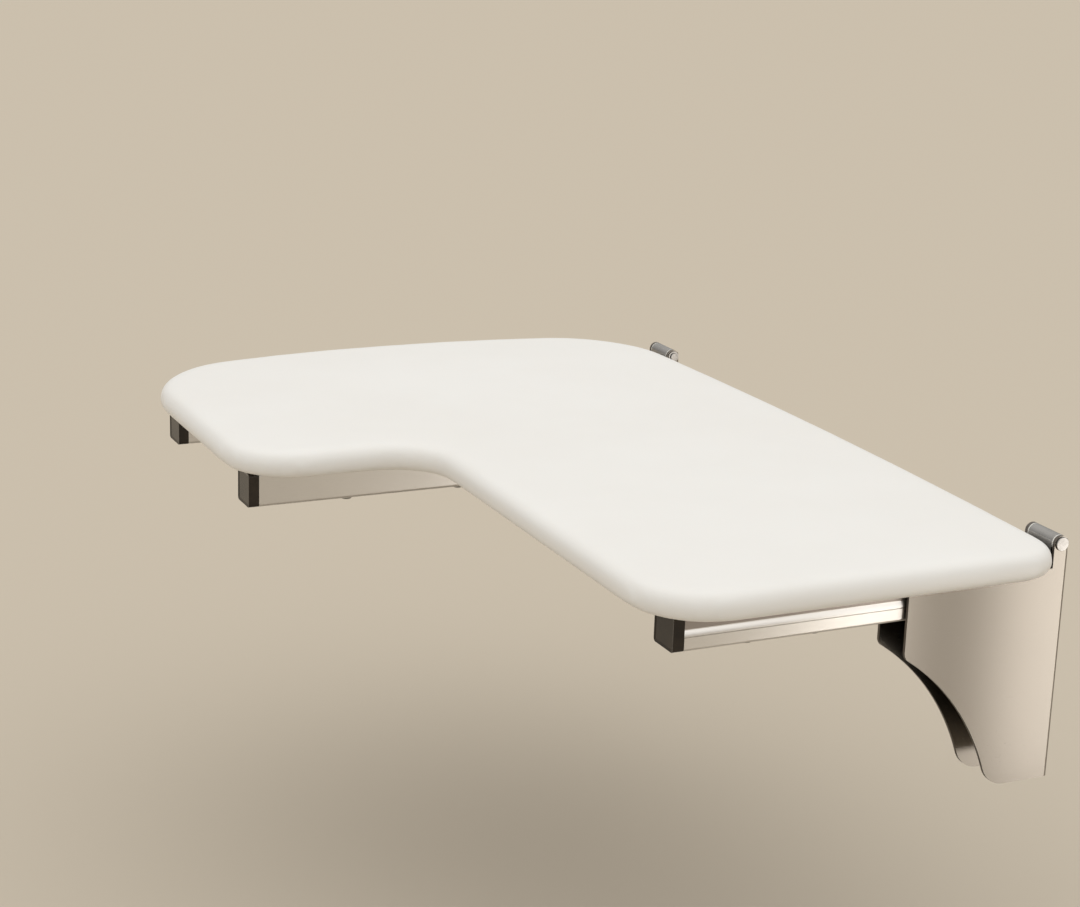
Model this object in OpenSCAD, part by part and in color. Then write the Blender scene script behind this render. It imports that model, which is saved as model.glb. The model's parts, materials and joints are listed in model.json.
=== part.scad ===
// Wall-mounted fold-up shower seat with an L-shaped padded top on a tube frame.
// +X runs along the wall, the wall face is Y = 0, the seat reaches towards -Y, +Z is up.
// The origin is the centre of the wall screw pattern, on the wall face.

/* [Seat top] */
// Length along the wall between the end corners of the outline
seat_length = 812; // [760:1:980]
// Depth of the main seat from its rear edge line
seat_depth = 379; // [330:1:460]
// How far the leg of the L reaches past the main seat's front edge
leg_reach = 177; // [140:1:240]
// Width of the leg of the L
leg_width = 346; // [320:1:420]
// Thickness of the padded top
seat_thickness = 28; // [24:1:36]
// Outward bow of the rear edge
rear_bow = 13; // [0:1:16]
// Outward bow of the far end
far_bow = 40; // [0:1:48]
// Rounding of the pad's top edge
top_round = 14; // [8:1:15]
// Rounding of the pad's bottom edge
bottom_round = 9; // [4:1:9]
// How far the board lies inside the pad's edge
board_inset = 22; // [18:1:34]
// Thickness of the board
board_thickness = 12; // [9:1:15]

/* [Corners, measured along the sides] */
// Near rear corner
near_rear_corner = 41; // [20:1:60]
// Near front corner
near_front_corner = 64; // [30:1:80]
// Inner corner of the L
inner_corner = 50; // [42:1:70]
// Near front corner of the leg
leg_near_corner = 63; // [30:1:90]
// Far front corner of the leg
leg_far_corner = 93; // [40:1:120]
// Far rear corner
far_rear_corner = 86; // [40:1:120]

/* [Frame] */
// Outer width of the square arm tubes
arm_size = 32; // [28:1:39]
// Wall of the arm tubes
arm_wall = 1.6; // [1.2:0.1:2.5]
// Outer width of the square cross rails
rail_size = 25; // [20:1:27]
// Wall of the cross rails
rail_wall = 1.5; // [1.2:0.1:2.5]
// Distance from the near arm's centre to the near end of the seat
near_overhang = 54; // [48:1:90]
// Distance from the far arm's centre to the far end of the seat
far_overhang = 72; // [60:1:100]
// Distance from the middle arm's centre to the leg's inner edge
middle_arm_inset = 52; // [40:1:90]
// Distance from the main seat's front edge to the near arm's end cap
near_arm_setback = 31; // [20:1:60]
// Distance from the leg's front edge to the other arms' end caps
leg_arm_setback = 17; // [12:1:60]
// Length of the visible head of an end cap
cap_head = 10; // [4:1:16]
// Length of the plug of an end cap
cap_plug = 18; // [10:1:25]
// Gap between a wall bracket's front edge and the rear cross rail
rear_rail_gap = 23.5; // [18:0.5:40]
// Distance from the near arm's front end to the front cross rail's centre
front_rail_setback = 34; // [32:1:60]
// Distance from the middle arm's front end to the leg rail's centre
leg_rail_setback = 60; // [34:1:80]

/* [Wall brackets] */
// Depth of a bracket from the wall
bracket_depth = 157; // [140:1:190]
// Height of a bracket's foot below the arm's underside
bracket_drop = 158; // [140:1:180]
// Sheet thickness of a bracket
sheet = 3; // [2:0.5:4]
// Outer bend radius of a bracket
bend_radius = 4.5; // [4.5:0.5:6]
// Height of a bracket's straight front edge
front_edge_height = 57; // [48:1:66]
// Width of a bracket's foot where it is widest
foot_width = 70; // [60:1:80]
// Rounding of the foot
foot_round = 24; // [15:1:28]
// Rounding of the front corner
front_round = 9; // [5:1:12]
// Radius of the scooped front edge
scoop_radius = 216; // [150:1:300]
// Radius of the wall screw holes
screw_hole_radius = 3.5; // [2.5:0.1:4.5]
// Vertical distance between wall screw holes
screw_pitch = 50; // [40:1:54]

/* [Hinge and stop] */
// Radius of the hinge pins
pin_radius = 4; // [3:0.25:4]
// Wall of the flanged bushes
bush_wall = 1.2; // [1:0.1:1.25]
// Radius of the knuckle and of the bracket's ears
knuckle_radius = 7; // [7:0.25:8]
// Distance from the hinge axis to the wall
axis_wall_distance = 9; // [9:0.25:12]
// How far a hinge block reaches in front of its knuckle
block_shoulder = 6; // [4:0.5:10]
// Length of a hinge block's spigot inside the arm
spigot_length = 40; // [25:1:50]
// Distance from a wall bracket's front edge to its rest bar's centre
rest_setback = 35; // [20:1:50]
// Width of a rest bar
rest_bar_width = 24; // [16:1:30]
// Thickness of a rest bar
rest_bar_thickness = 6; // [4:0.5:10]
// Thickness of a rest pad under the arm
rest_pad_thickness = 4; // [3:0.5:6]

/* [Fasteners] */
// Radius of the seat bolts
bolt_radius = 3; // [2.5:0.25:4]
// Radius of a seat bolt's head
bolt_head_radius = 5.5; // [5:0.25:7]
// Height of a seat bolt's head
bolt_head_height = 3.5; // [2.5:0.25:5]
// Thickness of the seat bolts' washers
washer_thickness = 1.2; // [1:0.1:2]

/* [Clearances] */
// Gap between a pin and its bore
pin_gap = 0.05; // [0.02:0.01:0.09]
// Gap between pieces that slide past each other
side_gap = 0.2; // [0.1:0.05:0.4]
// Gap between the raised seat and the wall
wall_gap = 0.8; // [0.5:0.1:2]
// Gap between a hinge block and the bracket's web behind it
web_gap = 1.5; // [0.8:0.1:2]
// Gap between the pad and the knuckles behind it
knuckle_gap = 0.8; // [0.5:0.1:2]
// Gap between the pad's underside and a bracket's top edge
top_edge_gap = 1; // [0.6:0.1:2]
// Gap round what slips into a tube or a recess
slip_gap = 0.15; // [0.1:0.05:0.3]
// Gap between the arm and its rest pad
rest_gap = 0.2; // [0.1:0.05:0.3]

/* [Hidden] */
$fn = 48;
eps = 0.01;

// Colours
vinyl = "#f2efe9";
board_colour = "#3a3632";
satin_steel = "#b9b6b0";
bright_steel = "#d5d4d0";
black_plastic = "#1c1a19";
nylon = "#e9e6dc";

// Places along X: the bushes' flanges fill the room beside a hinge block
flange_thickness = 1.4;
bracket_inner = arm_size + 2 * (flange_thickness + side_gap);
bracket_outer = bracket_inner + 2 * sheet;
arm_corner = 3;
rail_corner = 2.5;
arm_spacing = seat_length - near_overhang - far_overhang;
near_x = arm_spacing / 2;
far_x = -arm_spacing / 2;
near_x_end = near_x + near_overhang;
far_x_end = far_x - far_overhang;
inner_x = far_x_end + leg_width;
middle_x = inner_x - middle_arm_inset;

// Heights: the screw pattern's centre is Z = 0, and everything else follows from the foot.
foot_screw_height = 25;
foot_z = -screw_pitch - foot_screw_height;
arm_bottom = foot_z + bracket_drop;
arm_top = arm_bottom + arm_size;
arm_mid = arm_bottom + arm_size / 2;
pad_top = arm_top + seat_thickness;
axis_z = pad_top + wall_gap - axis_wall_distance;
axis_y = -axis_wall_distance;
plate_top = arm_top - top_edge_gap;

// Places along Y
rear_bow_at_ears = max(
    bow_height(rear_bow, (near_overhang + bracket_outer / 2) / seat_length),
    bow_height(rear_bow, (far_overhang + bracket_outer / 2) / seat_length)
);
rear_y = axis_y - knuckle_radius - knuckle_gap - rear_bow_at_ears;
main_front_y = rear_y - seat_depth;
leg_front_y = main_front_y - leg_reach;
near_arm_front = main_front_y + near_arm_setback;
leg_arm_front = leg_front_y + leg_arm_setback;
knuckle_front = axis_y - knuckle_radius;
block_front = knuckle_front - block_shoulder;
block_rear = -sheet - web_gap;
rear_rail_y = -bracket_depth - rear_rail_gap - rail_size / 2;
front_rail_y = near_arm_front + front_rail_setback;
leg_rail_y = leg_arm_front + leg_rail_setback;

// Seat bolts: X of the arm, then Y
bolt_end_distance = 28;
near_bolt_ys = [rear_rail_y - rail_size / 2 - bolt_end_distance,
                front_rail_y + rail_size / 2 + bolt_end_distance];
middle_bolt_ys = [rear_rail_y - rail_size / 2 - bolt_end_distance,
                  (rear_rail_y + leg_rail_y) / 2,
                  leg_rail_y + rail_size / 2 + bolt_end_distance];
bolt_places = concat(
    [for (y = near_bolt_ys) [near_x, y]],
    [for (y = middle_bolt_ys) [middle_x, y]],
    [for (y = middle_bolt_ys) [far_x, y]]
);
bolt_gap = 0.25;
washer_rim = 2;
tee_barrel_radius = bolt_radius + 1.2;
tee_barrel_length = 8;
tee_flange_radius = 9;
tee_flange_thickness = 1.5;

// Screws that hold the hinge blocks: two under each spigot
block_screw_radius = 2;
block_screw_head = 4;
block_screw_head_height = 2.2;
block_screw_reach = 10;
block_screw_end_distance = 10;
block_screw_ys = [block_front - block_screw_end_distance,
                  block_front - spigot_length + block_screw_end_distance];

// Hinge pins, their clips and their bushes
pin_head_radius = 6;
pin_head_thickness = 1.6;
clip_thickness = 1.2;
clip_gap = 0.1;
clip_rim = 2;
clip_slot = 3;
groove_depth = 0.8;
pin_tail = 1.6;
clip_centre = bracket_outer / 2 + side_gap + clip_gap + clip_thickness / 2;
bush_radius = pin_radius + pin_gap + bush_wall;
bush_fit = 0.02;
bush_sleeve = 12;

// Rest bars and their pads
rest_distance = bracket_depth - rest_setback;
rest_bar_top = arm_bottom - rest_gap - rest_pad_thickness;
rest_stud_radius = 3;
rest_pad_margin = 1;

// Seat outline, counter-clockwise from the near rear corner
seat_corners = [
    [near_x_end, rear_y], [far_x_end, rear_y], [far_x_end, leg_front_y],
    [inner_x, leg_front_y], [inner_x, main_front_y], [near_x_end, main_front_y]
];
corner_cuts = [
    near_rear_corner, far_rear_corner, leg_far_corner,
    leg_near_corner, inner_corner, near_front_corner
];
side_bows = [rear_bow, far_bow, 0, 0, 0, 0];
round_handle = 0.5523;
corner_steps = 7;
side_steps = 6;

function bow_height(bow, t) = 4 * bow * t * (1 - t);
function unit(v) = v / norm(v);
function outward(a, b) = unit([b.y - a.y, a.x - b.x]);
function side_point(a, b, bow, t) = a + t * (b - a) + bow_height(bow, t) * outward(a, b);
function side_direction(a, b, bow, t) = unit(b - a + 4 * bow * (1 - 2 * t) * outward(a, b));
function bezier(p, q, r, s, t) =
    pow(1 - t, 3) * p + 3 * pow(1 - t, 2) * t * q + 3 * (1 - t) * t * t * r + pow(t, 3) * s;
function corner_points(before, at, after, cut, bow_in, bow_out) =
    let (
        t_in = 1 - cut / norm(at - before),
        t_out = cut / norm(after - at),
        start = side_point(before, at, bow_in, t_in),
        end = side_point(at, after, bow_out, t_out),
        start_handle = start + round_handle * cut * side_direction(before, at, bow_in, t_in),
        end_handle = end - round_handle * cut * side_direction(at, after, bow_out, t_out)
    )
    [for (k = [0 : corner_steps]) bezier(start, start_handle, end_handle, end, k / corner_steps)];
function side_points(a, b, cut_a, cut_b, bow) =
    let (
        first = cut_a / norm(b - a),
        last = 1 - cut_b / norm(b - a)
    )
    [for (k = [1 : side_steps - 1]) side_point(a, b, bow, first + (last - first) * k / side_steps)];
function item(list, k) = list[(k + len(list)) % len(list)];
seat_outline = [
    for (k = [0 : len(seat_corners) - 1])
        each concat(
            corner_points(item(seat_corners, k - 1), item(seat_corners, k), item(seat_corners, k + 1),
                item(corner_cuts, k), item(side_bows, k - 1), item(side_bows, k)),
            side_points(item(seat_corners, k), item(seat_corners, k + 1),
                item(corner_cuts, k), item(corner_cuts, k + 1), item(side_bows, k))
        )
];
function inset_outline(points, inset) = [
    for (k = [0 : len(points) - 1])
        points[k] - inset * outward(item(points, k - 1), item(points, k + 1))
];

// Side outline of a bracket, as distance from the wall and height
function arc_points(centre, radius, from, to, steps) = [
    for (k = [0 : steps])
        let (angle = from + (to - from) * k / steps)
        centre + radius * [cos(angle), sin(angle)]
];
function angle_to(from, to) = atan2(to.y - from.y, to.x - from.x);
front_centre = [bracket_depth - front_round, plate_top - front_edge_height];
foot_centre = [foot_width - foot_round, foot_z + foot_round];
centre_line = unit(foot_centre - front_centre);
centre_distance = norm(foot_centre - front_centre);
along = (pow(scoop_radius + front_round, 2) - pow(scoop_radius + foot_round, 2)
    + pow(centre_distance, 2)) / (2 * centre_distance);
aside = sqrt(pow(scoop_radius + front_round, 2) - pow(along, 2));
scoop_centre = front_centre + along * centre_line + aside * [-centre_line.y, centre_line.x];
ear_front = axis_wall_distance + knuckle_radius;
ear_rear = axis_wall_distance - knuckle_radius;
web_top = axis_z - knuckle_radius - web_gap;
bracket_outline = concat(
    [[0, foot_z]],
    arc_points(foot_centre, foot_round, -90, angle_to(foot_centre, scoop_centre), 10),
    arc_points(scoop_centre, scoop_radius, angle_to(scoop_centre, foot_centre),
        angle_to(scoop_centre, front_centre), 24),
    arc_points(front_centre, front_round, angle_to(front_centre, scoop_centre), 0, 8),
    [[bracket_depth, plate_top], [ear_front, plate_top]],
    arc_points([axis_wall_distance, axis_z], knuckle_radius, 0, 180, 16),
    [[ear_rear, web_top], [0, web_top]]
);

// A square bar along Y with rounded long edges, from y_rear to y_front
module square_bar(size, corner, y_rear, y_front) {
    core = size / 2 - corner;
    translate([0, y_front, 0])
        rotate([-90, 0, 0])
            linear_extrude(y_rear - y_front)
                union() {
                    square([size, 2 * core], center = true);
                    square([2 * core, size], center = true);
                    for (sx = [-1, 1], sy = [-1, 1])
                        translate([sx * core, sy * core])
                            circle(corner);
                }
}

// A square tube along Y
module square_tube(size, corner, wall, y_rear, y_front) {
    difference() {
        square_bar(size, corner, y_rear, y_front);
        square_bar(size - 2 * wall, corner - wall, y_rear + eps, y_front - eps);
    }
}

// Its children, drawn at each of the places
module at_bolts(places) {
    for (place = places)
        translate([place.x, place.y, 0])
            children();
}

// A solid drawn as distance from the wall and height, spread across X about its middle
module wall_profile(width) {
    rotate([90, 0, -90])
        translate([0, 0, -width / 2])
            linear_extrude(width)
                children();
}

// A round rod along X about its middle
module cross_rod(radius, length) {
    rotate([0, 90, 0])
        cylinder(r = radius, h = length, center = true);
}

module seat_pad() {
    count = len(seat_outline);
    underside = arm_top;
    recess_inset = board_inset - slip_gap;
    edge_profile = concat(
        [[recess_inset, board_thickness], [recess_inset, 0]],
        [for (a = [0 : 22.5 : 90]) [bottom_round * (1 - sin(a)), bottom_round * (1 - cos(a))]],
        [for (a = [0 : 15 : 90]) [top_round * (1 - cos(a)), seat_thickness - top_round * (1 - sin(a))]]
    );
    rings = len(edge_profile);
    points = [
        for (step = edge_profile)
            for (p = inset_outline(seat_outline, step[0])) [p.x, p.y, underside + step[1]]
    ];
    walls = [
        for (r = [0 : rings - 2], k = [0 : count - 1])
            let (next = (k + 1) % count)
            each [
                [r * count + k, (r + 1) * count + k, (r + 1) * count + next],
                [r * count + k, (r + 1) * count + next, r * count + next]
            ]
    ];
    caps = [
        [for (k = [0 : count - 1]) k],
        [for (k = [count - 1 : -1 : 0]) (rings - 1) * count + k]
    ];
    color(vinyl)
        polyhedron(points, concat(walls, caps), convexity = 6);
}

module seat_board() {
    color(board_colour)
        difference() {
            translate([0, 0, arm_top])
                linear_extrude(board_thickness)
                    polygon(inset_outline(seat_outline, board_inset));
            at_bolts(bolt_places)
                translate([0, 0, arm_top - eps])
                    cylinder(r = tee_barrel_radius + slip_gap, h = board_thickness + 2 * eps);
            at_bolts(bolt_places)
                translate([0, 0, arm_top + board_thickness - tee_flange_thickness])
                    cylinder(r = tee_flange_radius + slip_gap, h = board_thickness);
        }
}

// An arm tube with its seat bolt holes and, on a hinged arm, its block screw holes
module arm(x, y_rear, y_front, bolt_ys, hinged) {
    color(satin_steel)
        difference() {
            translate([x, 0, arm_mid])
                square_tube(arm_size, arm_corner, arm_wall, y_rear, y_front);
            at_bolts([for (y = bolt_ys) [x, y]])
                translate([0, 0, arm_bottom - eps])
                    cylinder(r = bolt_radius + bolt_gap, h = arm_size + 2 * eps);
            if (hinged)
                for (y = block_screw_ys)
                    translate([x, y, arm_bottom - eps])
                        cylinder(r = block_screw_radius + bolt_gap, h = arm_size / 2);
        }
}

module arm_near() { arm(near_x, block_front, near_arm_front + cap_head, near_bolt_ys, true); }

module arm_middle() {
    arm(middle_x, rear_rail_y - rail_size / 2, leg_arm_front + cap_head, middle_bolt_ys, false);
}

module arm_far() { arm(far_x, block_front, leg_arm_front + cap_head, middle_bolt_ys, true); }

// A cross rail between the facing sides of two arms, level with the arms' top
module cross_rail(x_from, x_to, y) {
    color(satin_steel)
        translate([0, y, arm_top - rail_size / 2])
            rotate([0, 0, -90])
                square_tube(rail_size, rail_corner, rail_wall, x_to, x_from);
}

module cross_rail_rear() {
    cross_rail(far_x + arm_size / 2, near_x - arm_size / 2, rear_rail_y);
}

module cross_rail_front() {
    cross_rail(middle_x + arm_size / 2, near_x - arm_size / 2, front_rail_y);
}

module cross_rail_leg() {
    cross_rail(far_x + arm_size / 2, middle_x - arm_size / 2, leg_rail_y);
}

// A black end cap: a head flush with the tube and a plug inside it
module end_cap(x, y_front) {
    plug_size = arm_size - 2 * (arm_wall + slip_gap);
    color(black_plastic)
        translate([x, 0, arm_mid]) {
            square_bar(arm_size, arm_corner, y_front + cap_head, y_front);
            square_bar(plug_size, arm_corner - arm_wall, y_front + cap_head + cap_plug, y_front + eps);
        }
}

module end_cap_near() { end_cap(near_x, near_arm_front); }

module end_cap_middle() { end_cap(middle_x, leg_arm_front); }

module end_cap_far() { end_cap(far_x, leg_arm_front); }

// A hinge block: knuckle above, flange against the arm's rear end, spigot inside the arm
module hinge_block(x) {
    spigot_size = arm_size - 2 * (arm_wall + slip_gap);
    lug_depth = block_rear - knuckle_front;
    screw_hole_depth = arm_wall + block_screw_reach + slip_gap;
    color(bright_steel)
        translate([x, 0, 0])
            difference() {
                union() {
                    translate([0, axis_y, axis_z])
                        cross_rod(knuckle_radius, arm_size);
                    translate([-arm_size / 2, knuckle_front, arm_top - eps])
                        cube([arm_size, lug_depth, axis_z - arm_top + eps]);
                    translate([0, 0, arm_mid])
                        square_bar(arm_size, arm_corner, block_rear, block_front);
                    translate([0, 0, arm_mid])
                        square_bar(spigot_size, arm_corner - arm_wall, block_front + eps,
                            block_front - spigot_length);
                }
                translate([0, axis_y, axis_z])
                    cross_rod(bush_radius, arm_size + 2 * eps);
                for (y = block_screw_ys)
                    translate([0, y, arm_bottom - eps])
                        cylinder(r = block_screw_radius + pin_gap, h = screw_hole_depth);
            }
}

module hinge_block_near() { hinge_block(near_x); }

module hinge_block_far() { hinge_block(far_x); }

// Two flanged bushes, one from each side of a knuckle
module bushes(x) {
    color(nylon)
        for (side = [-1, 1])
            translate([x + side * arm_size / 2, axis_y, axis_z])
                difference() {
                    union() {
                        translate([-side * bush_sleeve / 2, 0, 0])
                            cross_rod(bush_radius - bush_fit, bush_sleeve);
                        translate([side * flange_thickness / 2, 0, 0])
                            cross_rod(knuckle_radius - side_gap, flange_thickness);
                    }
                    cross_rod(pin_radius + pin_gap, 4 * bush_sleeve);
                }
}

module bushes_near() { bushes(near_x); }

module bushes_far() { bushes(far_x); }

// A headed hinge pin with a groove for its clip; side is +1 where the head faces +X
module hinge_pin(x, side) {
    tail_end = clip_centre + clip_thickness / 2 + clip_gap + pin_tail;
    head_start = bracket_outer / 2 + side_gap / 2;
    color(bright_steel)
        translate([x, axis_y, axis_z])
            difference() {
                union() {
                    translate([side * (head_start - tail_end) / 2, 0, 0])
                        cross_rod(pin_radius, head_start + tail_end);
                    translate([side * (head_start + pin_head_thickness / 2), 0, 0])
                        cross_rod(pin_head_radius, pin_head_thickness);
                }
                translate([-side * clip_centre, 0, 0])
                    difference() {
                        cross_rod(pin_radius + 1, clip_thickness + 2 * clip_gap);
                        cross_rod(pin_radius - groove_depth, clip_thickness + 4 * clip_gap);
                    }
            }
}

module hinge_pin_near() { hinge_pin(near_x, 1); }

module hinge_pin_far() { hinge_pin(far_x, -1); }

// A ring clip in the pin's groove, open at the bottom
module pin_clip(x, side) {
    color(satin_steel)
        translate([x - side * clip_centre, axis_y, axis_z])
            difference() {
                cross_rod(pin_radius + clip_rim, clip_thickness);
                cross_rod(pin_radius - groove_depth + pin_gap, 2 * clip_thickness);
                translate([-clip_thickness, -clip_slot / 2, -2 * pin_radius])
                    cube([2 * clip_thickness, clip_slot, 2 * pin_radius]);
            }
}

module pin_clip_near() { pin_clip(near_x, 1); }

module pin_clip_far() { pin_clip(far_x, -1); }

// A wall bracket bent from one sheet: two side plates, and a web with the wall screw holes
module wall_bracket(x) {
    inner_bend = bend_radius - sheet;
    height = pad_top - foot_z;
    color(satin_steel)
        translate([x, 0, 0])
            difference() {
                intersection() {
                    translate([0, 0, foot_z - eps])
                        linear_extrude(height)
                            difference() {
                                bent_section(bracket_outer, bend_radius, 0, bracket_depth);
                                bent_section(bracket_inner, inner_bend, sheet, bracket_depth + eps);
                            }
                    wall_profile(2 * bracket_outer)
                        polygon(bracket_outline);
                }
                translate([-bracket_inner / 2, -sheet - inner_bend, web_top])
                    cube([bracket_inner, sheet + inner_bend + eps, height]);
                translate([0, axis_y, axis_z])
                    cross_rod(pin_radius + pin_gap, 2 * bracket_outer);
                for (row = [-1 : 1])
                    translate([0, eps, row * screw_pitch])
                        rotate([90, 0, 0])
                            cylinder(r = screw_hole_radius, h = sheet + 2 * eps);
            }
}

// The plan of a bent sheet's outer or inner face, between two distances from the wall
module bent_section(width, radius, from, to) {
    translate([-width / 2, -to])
        square([width, to - from - radius]);
    translate([-width / 2 + radius, -to])
        square([width - 2 * radius, to - from]);
    for (side = [-1, 1])
        translate([side * (width / 2 - radius), -from - radius])
            circle(radius);
}

module wall_bracket_near() { wall_bracket(near_x); }

module wall_bracket_far() { wall_bracket(far_x); }

// A flat bar welded between the side plates, under the arm
module rest_bar(x) {
    color(satin_steel)
        translate([x, -rest_distance, rest_bar_top - rest_bar_thickness / 2])
            difference() {
                cube([bracket_inner, rest_bar_width, rest_bar_thickness], center = true);
                cylinder(r = rest_stud_radius + slip_gap, h = 2 * rest_bar_thickness, center = true);
            }
}

module rest_bar_near() { rest_bar(near_x); }

module rest_bar_far() { rest_bar(far_x); }

// A nylon pad on the rest bar, held by its stud
module rest_pad(x) {
    width = arm_size - 2 * rest_pad_margin;
    depth = rest_bar_width - 2 * rest_pad_margin;
    color(nylon)
        translate([x, -rest_distance, rest_bar_top]) {
            translate([0, 0, rest_pad_thickness / 2])
                cube([width, depth, rest_pad_thickness], center = true);
            translate([0, 0, -rest_bar_thickness])
                cylinder(r = rest_stud_radius, h = rest_bar_thickness + eps);
        }
}

module rest_pad_near() { rest_pad(near_x); }

module rest_pad_far() { rest_pad(far_x); }

// Pan-head screws that hold a hinge block in its arm
module block_screws(x) {
    color(bright_steel)
        for (y = block_screw_ys)
            translate([x, y, arm_bottom]) {
                translate([0, 0, -block_screw_head_height])
                    cylinder(r = block_screw_head, h = block_screw_head_height);
                cylinder(r = block_screw_radius, h = arm_wall + block_screw_reach);
            }
}

module block_screws_near() { block_screws(near_x); }

module block_screws_far() { block_screws(far_x); }

module seat_bolts() {
    shank_end = arm_top + board_thickness - tee_flange_thickness;
    color(bright_steel)
        at_bolts(bolt_places)
            union() {
                translate([0, 0, arm_bottom - washer_thickness - bolt_head_height])
                    cylinder(r = bolt_head_radius, h = bolt_head_height);
                translate([0, 0, arm_bottom - washer_thickness - eps])
                    cylinder(r = bolt_radius, h = shank_end - arm_bottom + washer_thickness + eps);
            }
}

module bolt_washers() {
    color(satin_steel)
        at_bolts(bolt_places)
            translate([0, 0, arm_bottom - washer_thickness])
                difference() {
                    cylinder(r = bolt_head_radius + washer_rim, h = washer_thickness);
                    translate([0, 0, -eps])
                        cylinder(r = bolt_radius + pin_gap, h = washer_thickness + 2 * eps);
                }
}

// Tee nuts let into the board from above, clamped by the seat bolts
module tee_nuts() {
    flange_z = arm_top + board_thickness - tee_flange_thickness;
    color(satin_steel)
        at_bolts(bolt_places)
            difference() {
                union() {
                    translate([0, 0, flange_z])
                        cylinder(r = tee_flange_radius, h = tee_flange_thickness);
                    translate([0, 0, flange_z - tee_barrel_length])
                        cylinder(r = tee_barrel_radius, h = tee_barrel_length + eps);
                }
                translate([0, 0, arm_top])
                    cylinder(r = bolt_radius + pin_gap, h = board_thickness + eps);
            }
}

seat_pad();
seat_board();
arm_near();
arm_middle();
arm_far();
cross_rail_rear();
cross_rail_front();
cross_rail_leg();
end_cap_near();
end_cap_middle();
end_cap_far();
hinge_block_near();
hinge_block_far();
bushes_near();
bushes_far();
hinge_pin_near();
hinge_pin_far();
pin_clip_near();
pin_clip_far();
wall_bracket_near();
wall_bracket_far();
rest_bar_near();
rest_bar_far();
rest_pad_near();
rest_pad_far();
block_screws_near();
block_screws_far();
seat_bolts();
bolt_washers();
tee_nuts();
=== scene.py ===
"""Looks of a wall-mounted fold-up shower seat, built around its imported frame.

The frame is in metres: +X runs along the wall, the wall face is Y = 0, the seat reaches towards -Y
and +Z is up. Every place comes from the frame's own boxes, and every new piece keeps its place in
its mesh, with its object at the origin.
"""

import json
import logging
import math
from collections.abc import Callable, Iterator, Sequence
from contextlib import contextmanager
from dataclasses import dataclass, field
from enum import Enum

import bmesh
import bpy
import numpy as np
from mathutils import Matrix, Vector

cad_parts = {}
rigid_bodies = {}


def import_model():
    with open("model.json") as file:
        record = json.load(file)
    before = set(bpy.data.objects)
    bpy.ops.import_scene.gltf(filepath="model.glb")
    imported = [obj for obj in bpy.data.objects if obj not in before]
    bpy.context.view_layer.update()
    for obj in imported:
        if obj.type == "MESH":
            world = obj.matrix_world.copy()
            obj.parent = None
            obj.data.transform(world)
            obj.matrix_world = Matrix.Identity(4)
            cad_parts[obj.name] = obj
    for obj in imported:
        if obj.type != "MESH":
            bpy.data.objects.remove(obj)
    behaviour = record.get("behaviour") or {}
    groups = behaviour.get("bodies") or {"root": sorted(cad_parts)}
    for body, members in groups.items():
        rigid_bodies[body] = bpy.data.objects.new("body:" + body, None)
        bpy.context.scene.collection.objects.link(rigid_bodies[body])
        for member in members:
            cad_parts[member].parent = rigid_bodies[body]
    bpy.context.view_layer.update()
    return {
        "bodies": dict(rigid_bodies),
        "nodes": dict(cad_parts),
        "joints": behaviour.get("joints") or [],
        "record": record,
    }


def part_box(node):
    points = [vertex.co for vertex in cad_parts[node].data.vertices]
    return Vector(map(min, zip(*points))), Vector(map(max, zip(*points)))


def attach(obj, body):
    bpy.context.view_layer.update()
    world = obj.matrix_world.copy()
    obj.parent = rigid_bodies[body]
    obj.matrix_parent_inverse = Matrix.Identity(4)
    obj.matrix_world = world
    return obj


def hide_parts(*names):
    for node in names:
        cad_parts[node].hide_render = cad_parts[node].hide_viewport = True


LOG = logging.getLogger("shower_seat")
MM = 0.001

Triple = tuple[float, float, float]
Colour = Triple
FaceTest = Callable[[Vector, Vector], bool]
PointTest = Callable[[Vector], bool]


class Body(Enum):
    """The two bodies of the seat."""

    WALL = "wall_mount"
    SEAT = "seat"


class Slot(Enum):
    """The finishes that the record names."""

    VINYL = "pad_vinyl"
    FRAME = "frame_steel"
    BRACKET = "bracket_steel"
    MACHINED = "machined_steel"
    BLACK = "black_plastic"
    NYLON = "nylon"


class Side(Enum):
    """Which end of the seat a piece belongs to."""

    NEAR = "near"
    FAR = "far"


# ----------------------------------------
# Bench work: selecting, editing and finishing one mesh at a time
# ----------------------------------------


def focus(piece: bpy.types.Object) -> None:
    """Deselects everything, then selects one object and makes it active.

    Args:
        piece: The object to work on.
    """
    if bpy.context.object is not None and bpy.context.object.mode != "OBJECT":
        bpy.ops.object.mode_set(mode="OBJECT")
    bpy.ops.object.select_all(action="DESELECT")
    piece.select_set(True)
    bpy.context.view_layer.objects.active = piece


@contextmanager
def editing(piece: bpy.types.Object, mode: str = "VERT") -> Iterator[None]:
    """Holds one object in edit mode, with nothing selected at the start.

    Args:
        piece: The object to edit.
        mode: What is selected: VERT, EDGE or FACE.

    Yields:
        Nothing: the object is back in object mode afterwards.
    """
    focus(piece)
    bpy.ops.object.mode_set(mode="EDIT")
    bpy.ops.mesh.select_mode(type=mode)
    bpy.ops.mesh.select_all(action="DESELECT")
    try:
        yield
    finally:
        bpy.ops.object.mode_set(mode="OBJECT")


def pick_faces(piece: bpy.types.Object, wanted: FaceTest) -> None:
    """Selects the faces that a test wants, in edit mode.

    Args:
        piece: The object in edit mode.
        wanted: Takes a face's centre and normal.
    """
    bpy.ops.mesh.select_all(action="DESELECT")
    mesh = bmesh.from_edit_mesh(piece.data)
    for face in mesh.faces:
        if wanted(face.calc_center_median(), face.normal):
            face.select_set(True)
    mesh.select_flush_mode()
    bmesh.update_edit_mesh(piece.data)


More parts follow.
